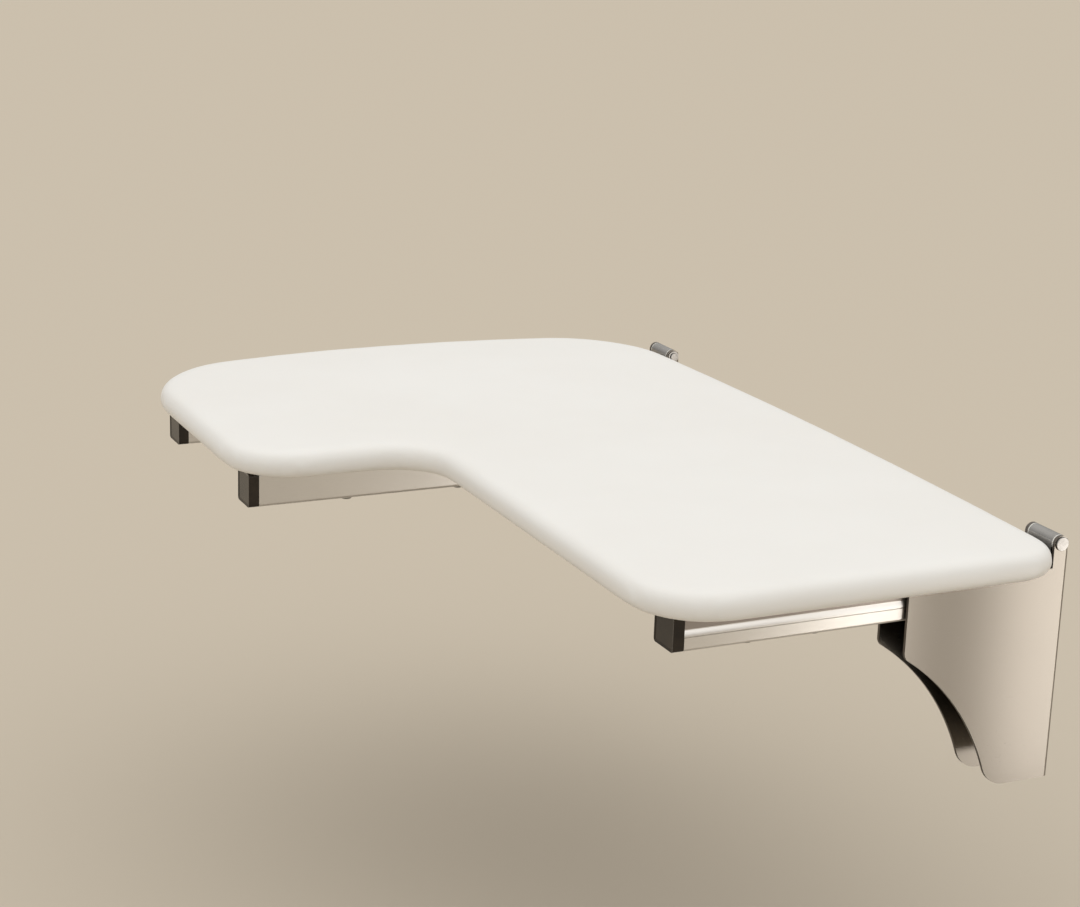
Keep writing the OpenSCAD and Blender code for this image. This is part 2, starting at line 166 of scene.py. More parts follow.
def pick_points(piece: bpy.types.Object, wanted: PointTest) -> None:
    """Selects the vertices that a test wants, in edit mode.

    Args:
        piece: The object in edit mode.
        wanted: Takes a vertex's place.
    """
    bpy.ops.mesh.select_all(action="DESELECT")
    mesh = bmesh.from_edit_mesh(piece.data)
    for vertex in mesh.verts:
        if wanted(vertex.co):
            vertex.select_set(True)
    mesh.select_flush_mode()
    bmesh.update_edit_mesh(piece.data)


def apply_modifier(piece: bpy.types.Object, name: str, kind: str, **settings: object) -> None:
    """Adds a modifier with its settings and applies it.

    Args:
        piece: The object that takes the modifier.
        name: The modifier's name.
        kind: Blender's modifier type.
        **settings: The modifier's own properties.
    """
    focus(piece)
    modifier = piece.modifiers.new(name, kind)
    for key, value in settings.items():
        setattr(modifier, key, value)
    bpy.ops.object.modifier_apply(modifier=modifier.name)


def round_edges(piece: bpy.types.Object, width: float, steps: int = 3, limit: float = 35.0) -> None:
    """Breaks every sharp edge with a small round.

    Args:
        piece: The object to round.
        width: How far the round reaches from the edge, in metres.
        steps: Faces across the round.
        limit: Edges that turn by less than this many degrees are left alone.
    """
    apply_modifier(
        piece, "edge_round", "BEVEL", width=width, segments=steps, limit_method="ANGLE",
        angle_limit=math.radians(limit), use_clamp_overlap=True,
    )


def smooth(piece: bpy.types.Object, angle: float = 40.0) -> None:
    """Shades an object smooth up to an angle and keeps its flat faces flat.

    Args:
        piece: The object to shade.
        angle: Edges that turn by more than this many degrees stay sharp.
    """
    focus(piece)
    bpy.ops.object.shade_smooth_by_angle(angle=math.radians(angle))
    apply_modifier(piece, "even_shading", "WEIGHTED_NORMAL", keep_sharp=True)


def settle(piece: bpy.types.Object, name: str) -> bpy.types.Object:
    """Names an object and puts its place, turn and size into its mesh.

    Args:
        piece: The object to settle.
        name: The name it takes.

    Returns:
        The same object.
    """
    focus(piece)
    piece.name = name
    piece.data.name = name
    bpy.ops.object.transform_apply(location=True, rotation=True, scale=True)
    return piece


def join_all(pieces: Sequence[bpy.types.Object], name: str) -> bpy.types.Object:
    """Joins several objects into one mesh.

    Args:
        pieces: The objects to join.
        name: The name of the joined object.

    Returns:
        The joined object.
    """
    focus(pieces[0])
    for piece in pieces[1:]:
        piece.select_set(True)
    if len(pieces) > 1:
        bpy.ops.object.join()
    return settle(bpy.context.view_layer.objects.active, name)


def copy_at(piece: bpy.types.Object, shift: Vector) -> bpy.types.Object:
    """Copies an object with its own mesh and moves the copy.

    Args:
        piece: The object to copy.
        shift: How far the copy moves.

    Returns:
        The copy.
    """
    focus(piece)
    bpy.ops.object.duplicate(linked=False)
    twin = bpy.context.view_layer.objects.active
    bpy.ops.transform.translate(value=shift)
    return twin


def cut_out(piece: bpy.types.Object, cutter: bpy.types.Object) -> None:
    """Cuts one solid out of another and removes the cutter.

    Args:
        piece: The solid that is cut.
        cutter: The solid that is taken away.
    """
    apply_modifier(piece, "cut", "BOOLEAN", operation="DIFFERENCE", solver="EXACT", object=cutter)
    bpy.data.objects.remove(cutter)


def merged_copy(frame: dict, node: str, name: str) -> bpy.types.Object:
    """Copies a frame node as one connected mesh with whole flat faces.

    Args:
        node: The node's name.
        name: The copy's name.

    Returns:
        The copy.
    """
    piece = bpy.data.objects.new(name, frame["nodes"][node].data.copy())
    bpy.context.scene.collection.objects.link(piece)
    piece.data.name = name
    piece.data.materials.clear()
    focus(piece)
    bpy.ops.mesh.customdata_custom_splitnormals_clear()
    with editing(piece):
        bpy.ops.mesh.select_all(action="SELECT")
        bpy.ops.mesh.remove_doubles(threshold=0.01 * MM)
        bpy.ops.mesh.dissolve_limited(angle_limit=math.radians(0.5))
    return piece


# ----------------------------------------
# Shader groups
# ----------------------------------------


@dataclass
class Wiring:
    """Adds and joins the nodes of one node tree."""

    tree: bpy.types.NodeTree

    def add(self, kind: str, inputs: dict | None = None, **settings: object) -> bpy.types.Node:
        """Adds a node.

        Args:
            kind: Blender's node type.
            inputs: Constants or output sockets for the node's inputs, by name or place.
            **settings: The node's own properties.

        Returns:
            The node.
        """
        node = self.tree.nodes.new(kind)
        for key, value in settings.items():
            setattr(node, key, value)
        for key, value in (inputs or {}).items():
            self.feed(node, key, value)
        return node

    def feed(self, node: bpy.types.Node, key: str | int, value: object) -> None:
        """Sets one input, or joins an output socket to it."""
        if isinstance(value, bpy.types.NodeSocket):
            self.tree.links.new(value, node.inputs[key])
        else:
            node.inputs[key].default_value = value

    def maths(self, operation: str, first: object, second: object = 0.0) -> bpy.types.NodeSocket:
        """Adds a Math node and returns its value."""
        return self.add("ShaderNodeMath", {0: first, 1: second}, operation=operation).outputs[0]

    def spread(
        self, value: object, low: float, high: float, to_low: float, to_high: float
    ) -> bpy.types.NodeSocket:
        """Maps one range of values to another, clamped, and returns the result."""
        places = {"Value": value, "From Min": low, "From Max": high, "To Min": to_low, "To Max": to_high}
        return self.add("ShaderNodeMapRange", places, clamp=True).outputs["Result"]

    def noise(self, vector: object, scale: object, detail: float, rough: float) -> bpy.types.NodeSocket:
        """Adds a Noise Texture and returns its value."""
        inputs = {"Vector": vector, "Scale": scale, "Detail": detail, "Roughness": rough}
        return self.add("ShaderNodeTexNoise", inputs).outputs["Fac"]


def new_group(
    name: str, inputs: dict[str, str], outputs: dict[str, str]
) -> tuple[bpy.types.NodeTree, Wiring, bpy.types.Node, bpy.types.Node]:
    """Starts a shader group with named inputs and outputs.

    Args:
        name: The group's name.
        inputs: Blender's socket type of each input.
        outputs: Blender's socket type of each output.

    Returns:
        The group, its wiring, and its input and output nodes.
    """
    tree = bpy.data.node_groups.new(name, "ShaderNodeTree")
    for way, sockets in (("INPUT", inputs), ("OUTPUT", outputs)):
        for socket, kind in sockets.items():
            tree.interface.new_socket(name=socket, in_out=way, socket_type=kind)
    wiring = Wiring(tree)
    return tree, wiring, wiring.add("NodeGroupInput"), wiring.add("NodeGroupOutput")


VALUE = "NodeSocketFloat"
VECTOR = "NodeSocketVector"


def brushed_grain_group() -> bpy.types.NodeTree:
    """Makes fine parallel grain, as abrasive belts leave it on sheet and tube.

    Returns:
        A group that takes a place and its stretch per axis, and gives a shade from 0 to 1.
    """
    tree, wiring, start, end = new_group(
        "brushed_grain", {"Vector": VECTOR, "Stretch": VECTOR}, {"Shade": VALUE}
    )
    stretched = wiring.add(
        "ShaderNodeVectorMath", {0: start.outputs["Vector"], 1: start.outputs["Stretch"]},
        operation="MULTIPLY",
    ).outputs[0]
    coarse = wiring.noise(stretched, 1.0, 4.0, 0.6)
    fine = wiring.noise(stretched, 3.7, 3.0, 0.7)
    mixed = wiring.maths("ADD", wiring.maths("MULTIPLY", coarse, 0.6), wiring.maths("MULTIPLY", fine, 0.4))
    wiring.feed(end, "Shade", wiring.spread(mixed, 0.32, 0.68, 0.0, 1.0))
    return tree


def cloudy_group() -> bpy.types.NodeTree:
    """Makes the slow unevenness of handled and cleaned surfaces.

    Returns:
        A group that takes a place and a size in clouds per metre, and gives a shade from 0 to 1.
    """
    tree, wiring, start, end = new_group(
        "cloudy_shade", {"Vector": VECTOR, "Clouds": VALUE}, {"Shade": VALUE}
    )
    cloud = wiring.noise(start.outputs["Vector"], start.outputs["Clouds"], 3.0, 0.55)
    wiring.feed(end, "Shade", wiring.spread(cloud, 0.3, 0.7, 0.0, 1.0))
    return tree


def hairline_group() -> bpy.types.NodeTree:
    """Makes sparse hairline scratches in two crossing directions.

    Returns:
        A group that takes a place and a density, and gives a mask of the scratches.
    """
    tree, wiring, start, end = new_group(
        "hairlines", {"Vector": VECTOR, "Density": VALUE}, {"Mask": VALUE}
    )
    masks = []
    for turn in (25.0, -50.0):
        mapping = wiring.add(
            "ShaderNodeMapping",
            {
                "Vector": start.outputs["Vector"],
                "Rotation": tuple(math.radians(turn * share) for share in (1.0, 0.7, 1.3)),
                "Scale": (1.0, 22.0, 22.0),
            },
        )
        lines = wiring.noise(mapping.outputs[0], start.outputs["Density"], 2.0, 0.5)
        masks.append(wiring.spread(lines, 0.68, 0.74, 0.0, 1.0))
    wiring.feed(end, "Mask", wiring.maths("MAXIMUM", masks[0], masks[1]))
    return tree


def pores_group() -> bpy.types.NodeTree:
    """Makes the shallow pebbled skin of moulded vinyl and of blasted plastic.

    Returns:
        A group that takes a place and a number of pebbles per metre, and gives their height.
    """
    tree, wiring, start, end = new_group(
        "pebbled_skin", {"Vector": VECTOR, "Pebbles": VALUE}, {"Height": VALUE}
    )
    bent = wiring.add(
        "ShaderNodeTexNoise",
        {"Vector": start.outputs["Vector"], "Scale": 160.0, "Detail": 2.0},
    ).outputs["Color"]
    moved = wiring.add(
        "ShaderNodeMix", {"Factor": 0.0015, 4: start.outputs["Vector"], 5: bent},
        data_type="VECTOR",
    ).outputs[1]
    cells = wiring.add(
        "ShaderNodeTexVoronoi",
        {"Vector": moved, "Scale": start.outputs["Pebbles"], "Smoothness": 0.6},
        feature="SMOOTH_F1",
    ).outputs["Distance"]
    finer = wiring.maths("MULTIPLY", start.outputs["Pebbles"], 2.5)
    fine = wiring.noise(start.outputs["Vector"], finer, 2.0, 0.5)
    wiring.feed(end, "Height", wiring.maths("ADD", wiring.maths("MULTIPLY", cells, -0.7), fine))
    return tree


@dataclass
class Groups:
    """The shader groups, each built once."""

    grain: bpy.types.NodeTree = field(default_factory=brushed_grain_group)
    cloudy: bpy.types.NodeTree = field(default_factory=cloudy_group)
    hairlines: bpy.types.NodeTree = field(default_factory=hairline_group)
    pores: bpy.types.NodeTree = field(default_factory=pores_group)


# ----------------------------------------
# Finishes
# ----------------------------------------


@dataclass(frozen=True)
class Finish:
    """What every finish has: a name, two shades to vary between, and a range of roughness."""

    name: str
    light: Colour
    dark: Colour
    smooth_roughness: float
    rough_roughness: float
    metallic: float = 0.0

    def start(self) -> tuple[bpy.types.Material, Wiring, bpy.types.Node, bpy.types.NodeSocket]:
        """Starts the material.

        Returns:
            The material, its wiring, its Principled node and its Object coordinates.
        """
        material = bpy.data.materials.new(self.name)
        material.use_nodes = True
        wiring = Wiring(material.node_tree)
        shader = material.node_tree.nodes["Principled BSDF"]
        shader.inputs["Metallic"].default_value = self.metallic
        material.diffuse_color = (*self.light, 1.0)
        place = wiring.add("ShaderNodeTexCoord").outputs["Object"]
        return material, wiring, shader, place

    def use(self, wiring: Wiring, group: bpy.types.NodeTree, inputs: dict) -> bpy.types.NodeSocket:
        """Places a shader group and returns its first output."""
        node = wiring.add("ShaderNodeGroup", node_tree=group)
        for key, value in inputs.items():
            wiring.feed(node, key, value)
        return node.outputs[0]

    def blend_colours(self, wiring: Wiring, share: object) -> bpy.types.NodeSocket:
        """Mixes the dark and the light shade by a share from 0 to 1."""
        mix = wiring.add("ShaderNodeMix", {"Factor": share}, data_type="RGBA")
        mix.inputs[6].default_value = (*self.dark, 1.0)
        mix.inputs[7].default_value = (*self.light, 1.0)
        return mix.outputs[2]

    def lift(self, wiring: Wiring, shader: bpy.types.Node, height: object, depth: float) -> None:
        """Turns a height into the surface's relief, depth metres deep."""
        bump = wiring.add("ShaderNodeBump", {"Height": height, "Distance": depth, "Strength": 1.0})
        wiring.feed(shader, "Normal", bump.outputs["Normal"])


@dataclass(frozen=True)
class BrushedMetal(Finish):
    """Metal with parallel grain, slow clouds and a few hairlines."""

    metallic: float = 1.0
    stretch: Triple = (900.0, 25.0, 900.0)
    clouds: float = 9.0
    hairline_density: float = 60.0
    hairline_roughness: float = 0.06
    grain_share: float = 0.55
    grain_depth: float = 0.012 * MM

    def build(self, groups: Groups) -> bpy.types.Material:
        """Builds the material.

        Args:
            groups: The shader groups.

        Returns:
            The material.
        """
        material, wiring, shader, place = self.start()
        grain = self.use(wiring, groups.grain, {"Vector": place, "Stretch": self.stretch})
        cloud = self.use(wiring, groups.cloudy, {"Vector": place, "Clouds": self.clouds})
        line = self.use(wiring, groups.hairlines, {"Vector": place, "Density": self.hairline_density})
        grain_part = wiring.maths("MULTIPLY", grain, self.grain_share)
        tone = wiring.maths("ADD", grain_part, wiring.maths("MULTIPLY", cloud, 1.0 - self.grain_share))
        wiring.feed(shader, "Base Color", self.blend_colours(wiring, tone))
        rough = wiring.spread(tone, 0.0, 1.0, self.rough_roughness, self.smooth_roughness)
        scratched = wiring.maths("MULTIPLY", line, self.hairline_roughness)
        wiring.feed(shader, "Roughness", wiring.maths("ADD", rough, scratched))
        self.lift(wiring, shader, grain, self.grain_depth)
        return material


@dataclass(frozen=True)
class MouldedSkin(Finish):
    """Vinyl, rubber or plastic with a pebbled skin, slow clouds and faint rubbing."""

    pebbles: float = 900.0
    pebble_depth: float = 0.03 * MM
    clouds: float = 5.0
    hairline_density: float = 30.0
    hairline_roughness: float = 0.04
    specular: float = 0.5
    coat: float = 0.0
    scattering: float = 0.0

    def build(self, groups: Groups) -> bpy.types.Material:
        """Builds the material.

        Args:
            groups: The shader groups.

        Returns:
            The material.
        """
        material, wiring, shader, place = self.start()
        height = self.use(wiring, groups.pores, {"Vector": place, "Pebbles": self.pebbles})
        cloud = self.use(wiring, groups.cloudy, {"Vector": place, "Clouds": self.clouds})
        line = self.use(wiring, groups.hairlines, {"Vector": place, "Density": self.hairline_density})
        wiring.feed(shader, "Base Color", self.blend_colours(wiring, cloud))
        rough = wiring.spread(cloud, 0.0, 1.0, self.rough_roughness, self.smooth_roughness)
        scratched = wiring.maths("MULTIPLY", line, self.hairline_roughness)
        wiring.feed(shader, "Roughness", wiring.maths("ADD", rough, scratched))
        self.lift(wiring, shader, height, self.pebble_depth)
        shader.inputs["Specular IOR Level"].default_value = self.specular
        shader.inputs["Coat Weight"].default_value = self.coat
        shader.inputs["Coat Roughness"].default_value = 0.25
        if self.scattering:
            shader.inputs["Subsurface Weight"].default_value = self.scattering
            shader.inputs["Subsurface Radius"].default_value = (1.0, 0.9, 0.8)
            shader.inputs["Subsurface Scale"].default_value = 2.0 * MM
        return material


@dataclass(frozen=True)
class SealedWood(Finish):
    """Plywood under a dark sealer, with its grain along the wall."""

    stretch: Triple = (14.0, 420.0, 420.0)
    coat: float = 0.25
    grain_depth: float = 0.05 * MM

    def build(self, groups: Groups) -> bpy.types.Material:
        """Builds the material.

        Args:
            groups: The shader groups.

        Returns:
            The material.
        """
        material, wiring, shader, place = self.start()
        grain = self.use(wiring, groups.grain, {"Vector": place, "Stretch": self.stretch})
        cloud = self.use(wiring, groups.cloudy, {"Vector": place, "Clouds": 4.0})
        tone = wiring.maths("MULTIPLY", wiring.maths("ADD", grain, cloud), 0.5)
        wiring.feed(shader, "Base Color", self.blend_colours(wiring, tone))
        wiring.feed(
            shader, "Roughness", wiring.spread(grain, 0.0, 1.0, self.rough_roughness, self.smooth_roughness)
        )
        self.lift(wiring, shader, grain, self.grain_depth)
        shader.inputs["Coat Weight"].default_value = self.coat
        shader.inputs["Coat Roughness"].default_value = 0.3
        return material


@dataclass
class Finishes:
    """Every material of the seat, built once."""

    groups: Groups
    vinyl: bpy.types.Material = field(init=False)
    tube_steel: bpy.types.Material = field(init=False)
    painted_shade_steel: bpy.types.Material = field(init=False)
    rail_steel: bpy.types.Material = field(init=False)
    sheet_steel: bpy.types.Material = field(init=False)
    cut_edge: bpy.types.Material = field(init=False)
    machined_steel: bpy.types.Material = field(init=False)
    weld_steel: bpy.types.Material = field(init=False)
    black_plastic: bpy.types.Material = field(init=False)
    nylon: bpy.types.Material = field(init=False)
    board: bpy.types.Material = field(init=False)

    def __post_init__(self) -> None:
        """Builds the materials."""
        self.vinyl = MouldedSkin(
            "satin_white_vinyl", (0.865, 0.855, 0.835), (0.835, 0.82, 0.795), 0.38, 0.47,
            pebbles=1100.0, pebble_depth=0.018 * MM, scattering=0.08,
        ).build(self.groups)
        self.tube_steel = BrushedMetal(
            "brushed_tube_steel", (0.69, 0.672, 0.65), (0.63, 0.612, 0.588), 0.27, 0.33,
            stretch=(2400.0, 90.0, 2400.0), grain_depth=0.002 * MM,
        ).build(self.groups)
        # Painted shade: a darker steel for the arm's recessed band above the shoulder, standing in for the
        # shade under the pad's overhang.
        self.painted_shade_steel = BrushedMetal(
            "recess_painted_shade_steel", (0.34, 0.305, 0.28), (0.26, 0.23, 0.21), 0.38, 0.48,
            stretch=(2400.0, 40.0, 2400.0), grain_depth=0.003 * MM,
        ).build(self.groups)
        self.rail_steel = BrushedMetal(
            "brushed_rail_steel", (0.72, 0.71, 0.69), (0.56, 0.545, 0.52), 0.24, 0.36,
            stretch=(25.0, 900.0, 900.0),
        ).build(self.groups)
        self.sheet_steel = BrushedMetal(
            "satin_sheet_steel", (0.268, 0.247, 0.221), (0.25, 0.23, 0.205), 0.22, 0.25,
            stretch=(3000.0, 3000.0, 90.0), clouds=6.0, grain_depth=0.0008 * MM,
        ).build(self.groups)
        self.cut_edge = BrushedMetal(
            "dark_cut_edge", (0.2, 0.175, 0.155), (0.1, 0.088, 0.078), 0.4, 0.55,
            stretch=(1200.0, 300.0, 300.0), clouds=40.0, grain_depth=0.02 * MM,
        ).build(self.groups)
        self.machined_steel = BrushedMetal(
            "turned_steel", (0.36, 0.35, 0.34), (0.28, 0.27, 0.26), 0.2, 0.3,
            stretch=(1500.0, 200.0, 200.0), clouds=60.0,
        ).build(self.groups)
        self.weld_steel = BrushedMetal(
            "tinted_weld_steel", (0.62, 0.58, 0.52), (0.36, 0.32, 0.28), 0.3, 0.48,
            stretch=(500.0, 500.0, 500.0), clouds=220.0, grain_depth=0.04 * MM,
        ).build(self.groups)
        self.black_plastic = MouldedSkin(
            "gloss_black_plastic", (0.03, 0.021, 0.014), (0.014, 0.01, 0.007), 0.13, 0.2,
            pebbles=1800.0, pebble_depth=0.004 * MM, clouds=70.0, hairline_density=120.0, specular=0.33,
        ).build(self.groups)
        self.nylon = MouldedSkin(
            "milky_nylon", (0.78, 0.765, 0.72), (0.7, 0.685, 0.64), 0.36, 0.46,
            pebbles=2400.0, pebble_depth=0.01 * MM, clouds=80.0, scattering=0.15,
        ).build(self.groups)
        self.board = SealedWood(
            "sealed_plywood", (0.12, 0.083, 0.055), (0.05, 0.035, 0.024), 0.42, 0.6
        ).build(self.groups)


# ----------------------------------------
# Handing pieces over to the frame
# ----------------------------------------


@dataclass
class Workshop:
    """The frame and the finishes, and how a finished piece is handed over."""

    frame: dict
    finishes: Finishes

    def copy(self, node: str, name: str, *materials: bpy.types.Material) -> bpy.types.Object:
        """Copies a node as one mesh and dresses it.

        Args:
            node: The frame node.
            name: The copy's name.
            *materials: Its materials, the first of which covers it.

        Returns:
            The copy.
        """
        piece = merged_copy(self.frame, node, name)
        self.dress(piece, *materials)
        return piece

    def dress(self, piece: bpy.types.Object, *materials: bpy.types.Material) -> None:
        """Gives a new piece its materials."""
        for material in materials:
            piece.data.materials.append(material)

    def hand_over(self, piece: bpy.types.Object, body: Body, slot: Slot, *nodes: str) -> None:
        """Makes a piece ride on its body and stand for its nodes.

        Args:
            piece: The finished piece.
            body: The body that it rides on.
            slot: The record's finish for the piece; not used.
            *nodes: The frame nodes that it stands for.
        """
        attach(piece, body.value)
        if nodes:
            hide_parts(*nodes)
        LOG.info("%s: %d faces, on %s, for %s", piece.name, len(piece.data.polygons), body.value, nodes)

    def keep(self, node: str, material: bpy.types.Material) -> None:
        """Keeps a frame node's own shape and gives it a better material.

        Args:
            node: The frame node.
            material: Its material.
        """
        piece = self.frame["nodes"][node]
        if not piece.material_slots:
            piece.data.materials.append(material)
        for place in piece.material_slots:
            place.material = material
        LOG.info("%s: kept, with %s", node, material.name)

    def refine(
        self, node: str, name: str, body: Body, slot: Slot, material: bpy.types.Material, width: float
    ) -> None:
        """Replaces a node with a copy whose edges are broken.

        Args:
            node: The frame node.
            name: The copy's name.
            body: The body that it rides on.
            slot: The record's finish, passed on to hand_over, which doesn't use it.
            material: Its material.
            width: The width of its broken edges.
        """
        piece = self.copy(node, name, material)
        round_edges(piece, width)
        smooth(piece)
        self.hand_over(piece, body, slot, node)


# ----------------------------------------
# The seat top
# ----------------------------------------


@dataclass
class SeatTop:
    """The padded top and the board that stiffens it."""

    shop: Workshop
    voxel: float = 5.4 * MM
    start_below: float = 2.3 * MM
    free_above: float = 13.5 * MM
    pressure: float = 4.0
    cloth_quality: int = 6
    cloth_mass: float = 0.3
    stretch_stiffness: float = 20.0
    shear_stiffness: float = 8.0
    bending_stiffness: float = 4.0
    frames: int = 20
    most_move: float = 2.2 * MM
    evenings: int = 120
    smoothing: int = 4
    fill: float = 0.9

    def build(self) -> None:
        """Builds the pad and dresses the board."""
        self.pad()
        self.shop.keep("seat_board", self.shop.finishes.board)

    def pad(self) -> None:
        """Swells the padded top from its plain solid, under pressure from its foam."""
        low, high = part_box("seat_pad")
        held_below = low.z + self.free_above
        pad = self.shop.copy("seat_pad", "seat_cushion", self.shop.finishes.vinyl)
        apply_modifier(pad, "even_skin", "REMESH", mode="VOXEL", voxel_size=self.voxel)
        with editing(pad):
            pick_points(pad, lambda place: place.z > held_below)
            drop = 1.0 - self.start_below / (high.z - held_below)
            bpy.ops.transform.resize(value=(1.0, 1.0, drop), center_override=(0.0, 0.0, held_below))
            bpy.ops.mesh.select_all(action="SELECT")
            bpy.ops.mesh.vertices_smooth(factor=0.5, repeat=self.smoothing)
        self.swell(pad, held_below)
        apply_modifier(pad, "finer_skin", "SUBSURF", levels=1, render_levels=1)
        focus(pad)
        bpy.ops.object.shade_smooth()
        self.shop.hand_over(pad, Body.SEAT, Slot.VINYL, "seat_pad")

    def swell(self, pad: bpy.types.Object, held_below: float) -> None:
        """Runs the cloth simulation and caps how far each point has moved.

        Args:
            pad: The pad's even skin.
            held_below: Points below this height are held.
        """
        skin = pad.data
        before = np.empty(3 * len(skin.vertices))
        skin.vertices.foreach_get("co", before)
        held = pad.vertex_groups.new(name="held")
        held.add([vertex.index for vertex in skin.vertices if vertex.co.z < held_below], 1.0, "REPLACE")
        focus(pad)
        cloth = pad.modifiers.new("foam_pressure", "CLOTH")
        cloth.settings.quality = self.cloth_quality
        cloth.settings.mass = self.cloth_mass
        cloth.settings.tension_stiffness = self.stretch_stiffness
        cloth.settings.compression_stiffness = self.stretch_stiffness
        cloth.settings.shear_stiffness = self.shear_stiffness
        cloth.settings.bending_stiffness = self.bending_stiffness
        cloth.settings.use_pressure = True
        cloth.settings.uniform_pressure_force = self.pressure
        cloth.settings.effector_weights.gravity = 0.0
        cloth.settings.vertex_group_mass = held.name
        cloth.point_cache.frame_start = 1
        cloth.point_cache.frame_end = self.frames
        for number in range(1, self.frames + 1):
            bpy.context.scene.frame_set(number)
        bpy.ops.object.modifier_apply(modifier=cloth.name)
        after = np.empty_like(before)
        skin = pad.data
        skin.vertices.foreach_get("co", after)
        moves = (after - before).reshape(-1, 3)
        lengths = np.maximum(np.linalg.norm(moves, axis=1), 1e-9)
        LOG.info("the pad swelled by up to %.2f mm", lengths.max() / MM)
        moves *= np.minimum(1.0, self.most_move / lengths)[:, None]
        moves = self.evened(skin, moves, before[2::3] >= held_below)
        skin.vertices.foreach_set("co", before + moves.ravel())
        skin.update()
        pad.vertex_groups.clear()
        bpy.context.scene.frame_set(1)

    def evened(self, skin: bpy.types.Mesh, moves: np.ndarray, free: np.ndarray) -> np.ndarray:
        """Evens out the points' moves, so that the skin is taut and has no wrinkles.

        Args:
            skin: The pad's mesh.
            moves: How far each point has moved, one row each.
            free: Which points aren't held.

        Returns:
            The evened moves.
        """
        ends = np.empty(2 * len(skin.edges), dtype=np.int64)
        skin.edges.foreach_get("vertices", ends)
        near, far = ends.reshape(-1, 2).T
        source, sink = np.concatenate((near, far)), np.concatenate((far, near))
        share = free / np.maximum(np.bincount(sink, minlength=len(moves)), 1)
        for _ in range(self.evenings):
            sums = [np.bincount(sink, moves[source, axis], len(moves)) for axis in range(3)]
            moves = np.stack(sums, axis=1) * share[:, None]
        return moves


# ----------------------------------------
# The tube frame
# ----------------------------------------


